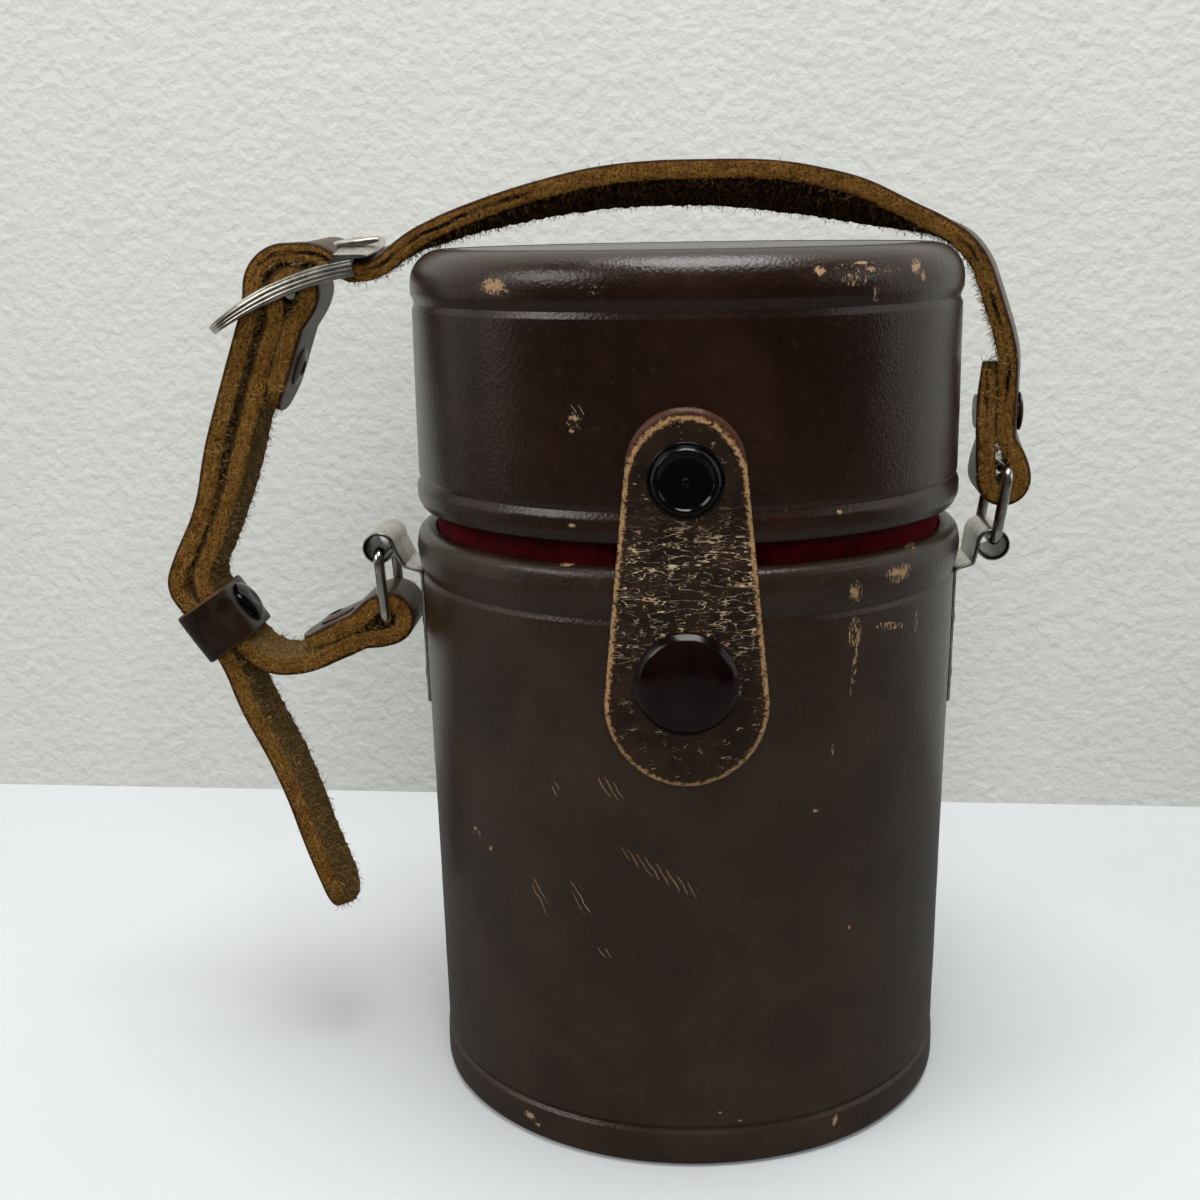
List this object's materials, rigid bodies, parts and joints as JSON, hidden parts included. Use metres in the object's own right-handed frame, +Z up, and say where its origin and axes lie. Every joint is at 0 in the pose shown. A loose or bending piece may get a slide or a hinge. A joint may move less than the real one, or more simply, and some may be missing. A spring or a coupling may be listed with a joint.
{
  "type": "lens case",
  "caption": "Round hard leather lens case with a hinged lid, a press-stud front tab and a buckled carrying strap on wire rings",
  "frame": {"origin": "middle of the round base, on the surface the case stands on", "axes": "+Z up along the case, -Y towards the front tab, +X to the right of someone who faces the tab"},
  "size_m": [0.142, 0.0965, 0.1492],
  "materials": {
    "case_leather": "satin dark brown smooth hide",
    "panel_leather": "satin dark brown pebbled hide",
    "tab_leather": "worn brown hide with tan edges",
    "strap_leather": "ochre cut edges, grey-brown grain side",
    "keeper_leather": "dark polished hide",
    "velvet": "deep red pile",
    "fibre": "raw fibreboard",
    "nickel": "worn nickel plate",
    "ring_nickel": "polished nickel wire",
    "black_cap": "black gloss",
    "brown_cap": "dark maroon gloss",
    "dark_rivet": "dark bronzed",
    "brass_inner": "plain"
  },
  "bodies": {
    "case": {"body_leather": "case_leather", "body_core": "fibre", "base_leather": "panel_leather", "base_disc": "fibre", "velvet_lining": "velvet", "base_pad": "velvet", "snap_stud": "brass_inner", "left_lug": "nickel", "right_lug": "nickel", "left_lug_rivets": "dark_rivet", "right_lug_rivets": "dark_rivet", "long_strap": "strap_leather", "short_strap": "strap_leather", "buckle_strap_rivet": "dark_rivet", "buckle_frame": "nickel", "keeper": "keeper_leather", "keeper_rivet": "dark_rivet", "hinge_strip_body": "tab_leather", "hinge_rivets_body": "dark_rivet"},
    "lid": {"lid_leather": "case_leather", "lid_top_panel": "panel_leather", "lid_core": "fibre", "lid_lining": "velvet", "lid_pad": "velvet", "tab_root": "tab_leather", "tab_cap_rivet": "black_cap", "hinge_strip_lid": "tab_leather", "hinge_rivets_lid": "dark_rivet"},
    "tab": {"tab_flap": "tab_leather", "snap_cap": "brown_cap", "snap_socket": "brass_inner"},
    "left_ring": {"left_ring": "ring_nickel", "left_strap_rivet": "dark_rivet"},
    "right_ring": {"right_ring": "ring_nickel", "right_strap_rivet": "dark_rivet"},
    "prong": {"buckle_prong": "nickel"}
  },
  "joints": [
    {"name": "lid_hinge", "type": "hinge", "parent": "case", "child": "lid", "pos_m": [0, 0.0465, 0.09595], "axis": [-1, 0, 0], "range_deg": [0, 110], "deforming": ["long_strap"]},
    {"name": "tab_bend", "type": "hinge", "parent": "lid", "child": "tab", "pos_m": [0, -0.04635, 0.0992], "axis": [-1, 0, 0], "range_deg": [0, 110]},
    {"name": "left_ring_hinge", "type": "hinge", "parent": "case", "child": "left_ring", "pos_m": [-0.0506, 0, 0.0901], "axis": [0, 1, 0], "range_deg": [-1, 20], "deforming": ["short_strap"]},
    {"name": "right_ring_hinge", "type": "hinge", "parent": "case", "child": "right_ring", "pos_m": [0.0495, 0, 0.0901], "axis": [0, 1, 0], "range_deg": [-3, 30]},
    {"name": "prong_hinge", "type": "hinge", "parent": "case", "child": "prong", "pos_m": [-0.0625, 0, 0.1316], "axis": [0, -1, 0], "range_deg": [0, 40]}
  ]
}
